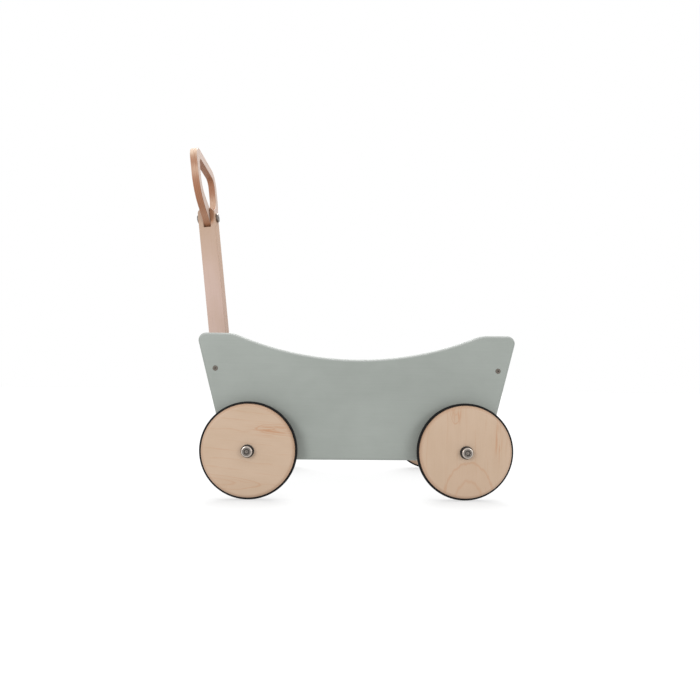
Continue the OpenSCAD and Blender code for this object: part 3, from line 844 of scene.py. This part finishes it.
def add_wheels():
    """Four wheels with their hardware, and the axles. Returns the discs and tyres."""
    wheels = []
    for corner, (grain, seed, arches, flecks) in WHEEL_FIGURES.items():
        out = -BACK if corner.endswith("left") else BACK
        at = place(middle("wheel_disc_" + corner), UP.cross(out), out)
        ply = wood(
            "wheel_ply_" + corner, WHEEL_TINT, seed, WHEEL_SPACING, WHEEL_BOLD,
            arches=arches, flecks=flecks, plies=WHEEL_PLIES, grain=math.radians(grain),
        )
        wheels.append(add_piece("disc_" + corner, disc_mesh(corner), at, ply, "wheel_disc_" + corner))
        wheels.append(add_piece("band_" + corner, tyre_mesh(corner), at, RUBBER_LOOK, "tyre_" + corner))
        add_piece("collar_" + corner, collar_mesh(corner, at), at, COLLAR_LOOK, "axle_collar_" + corner)
        for name, kind in HUB_PIECES.items():
            node = kind + corner
            add_piece(name + corner, solid(node, at), at, SMALL_LOOKS[SLOTS[node]], node)
    for end in ("front", "rear"):
        node = end + "_axle"
        at = place(middle(node), RIGHT, -BACK)
        add_piece("rod_" + end, solid(node, at), at, COLLAR_LOOK, node)
    return wheels


def add_arm():
    """The pull arm with its brackets and bolts, and the grip ring."""
    across = Vector(joint("ring_swivel")["axis"])
    along = across.cross(BACK)
    pivot, bolt = Vector(joint("arm_swing")["pos_m"]), Vector(joint("ring_swivel")["pos_m"])
    timber = wood("arm_timber", TIMBER_TINT, **ARM_FIGURE, painted_shadow=ARM_PAINTED_SHADOW, darker_stretch=ARM_DARKER_STRETCH)
    at = place(pivot, along, -BACK)
    add_piece("arm_bar", plate("pull_arm", at, ARM_ROUND), at, timber, "pull_arm")
    slope = face_normal("front_panel", -RIGHT).cross(BACK)
    bracket_timber = wood("bracket_timber", TIMBER_TINT, **BRACKET_FIGURE)
    for side, out in (("left", -BACK), ("right", BACK)):
        node = side + "_bracket"
        at = place(middle(node), slope, out)
        add_piece("cheek_" + side, plate(node, at, BRACKET_ROUND), at, bracket_timber, node)
    ring_ply = wood("ring_ply", RING_TINT, **RING_FIGURE, plies=RING_PLIES, bare_and_highlight=RING_BARE_AND_HIGHLIGHT)
    at = place(bolt, along, across)
    add_piece("grip", plate("grip_ring", at, RING_ROUND), at, ring_ply, "grip_ring")
    for node in ("ring_bolt", "ring_sleeve"):
        add_piece(node + "_turned", solid(node, at), at, STEEL_LOOK, node)
    at = place(pivot, along, BACK)
    for node in ("pivot_bolt", "pivot_sleeve"):
        add_piece(node + "_turned", solid(node, at), at, STEEL_LOOK, node)


def dress_cad_nodes():
    """Gives the CAD nodes that still show their materials."""
    for node, shown in frame["nodes"].items():
        if not shown.hide_render:
            for slot in shown.material_slots:
                slot.material = SMALL_LOOKS[SLOTS[node]]


def add_camera():
    data = bpy.data.cameras.new("camera")
    data.sensor_width = SENSOR_MM
    data.lens = FOCAL_PX / IMAGE_PX * SENSOR_MM
    data.shift_x = (IMAGE_PX / 2 - CENTRE_X) / IMAGE_PX
    data.shift_y = (CENTRE_Y - IMAGE_PX / 2) / IMAGE_PX
    data.clip_start, data.clip_end = CLIP_NEAR, CLIP_FAR
    ahead = Vector((math.sin(CAMERA_YAW), math.cos(CAMERA_YAW), 0))
    level = ahead.cross(UP)
    right = level * math.cos(CAMERA_ROLL) + UP * math.sin(CAMERA_ROLL)
    bpy.context.scene.camera = add_object("camera", data, place(CAMERA_AT, right, -ahead))


def add_table():
    """White table that glows."""
    bm = bmesh.new()
    bmesh.ops.create_grid(bm, x_segments=TABLE_CELLS, y_segments=TABLE_CELLS, size=TABLE_SIZE / 2)
    mesh = bpy.data.meshes.new("table")
    bm.to_mesh(mesh)
    bm.free()
    look = Look(
        "white_table", Specular_IOR_Level=0.05, Roughness=0.9,
        Emission_Strength=TABLE_SHINE, Emission_Color=WHITE,
    )
    cloud = look.noise((0.004, 0.004, 0.004), 2)
    tinted = look.mix(look.spread(0.0, 1.0, cloud), TABLE_DARK, TABLE_LIGHT)
    look.tree.links.new(tinted, look.shader.inputs["Base Color"])
    mesh.materials.append(look.material)
    table = add_object("table", mesh, Matrix())
    return table


def add_surroundings():
    world = bpy.data.worlds.new("surroundings")
    world.use_nodes = True
    background = world.node_tree.nodes["Background"]
    background.inputs["Color"].default_value = WHITE
    background.inputs["Strength"].default_value = WORLD_LIGHT
    bpy.context.scene.world = world
    bpy.context.scene.view_settings.view_transform = "Standard"


def add_lamp(name, kind, at, strength):
    data = bpy.data.lights.new(name, kind)
    data.energy = strength
    return add_object(name, data, place(at, RIGHT, at - LIGHT_AIM))


def add_soft_lamp(name, at, watts, size):
    lamp = add_lamp(name, "AREA", at, watts)
    lamp.data.shape = "DISK"
    lamp.data.size = size
    return lamp


def group(name, *members):
    made = bpy.data.collections.new(name)
    for member in members:
        made.objects.link(member)
    return made


def add_lamps(table, wheels):
    """Soft lamps, of which the top one spares the table, and the table's wash. Only the wheels shade that
    wash, so that they stand on the table and the tray leaves no shade on it, as in the photograph."""
    add_soft_lamp("key", KEY_AT, KEY_WATTS, KEY_SIZE)
    add_soft_lamp("fill", FILL_AT, FILL_WATTS, FILL_SIZE)
    top = add_soft_lamp("top", TOP_AT, TOP_WATTS, TOP_SIZE)
    spared = group("table_spared", table)
    spared.collection_objects[0].light_linking.link_state = "EXCLUDE"
    top.light_linking.receiver_collection = spared
    wash = add_lamp("wash", "SUN", WASH_AT, WASH_STRENGTH)
    wash.data.angle = WASH_ANGLE
    wash.light_linking.receiver_collection = group("table_washed", table)
    wash.light_linking.blocker_collection = group("wheel_shades", *wheels)


add_camera()
add_tray()
wheels = add_wheels()
table = add_table()
add_surroundings()
add_lamps(table, wheels)
add_arm()
dress_cad_nodes()
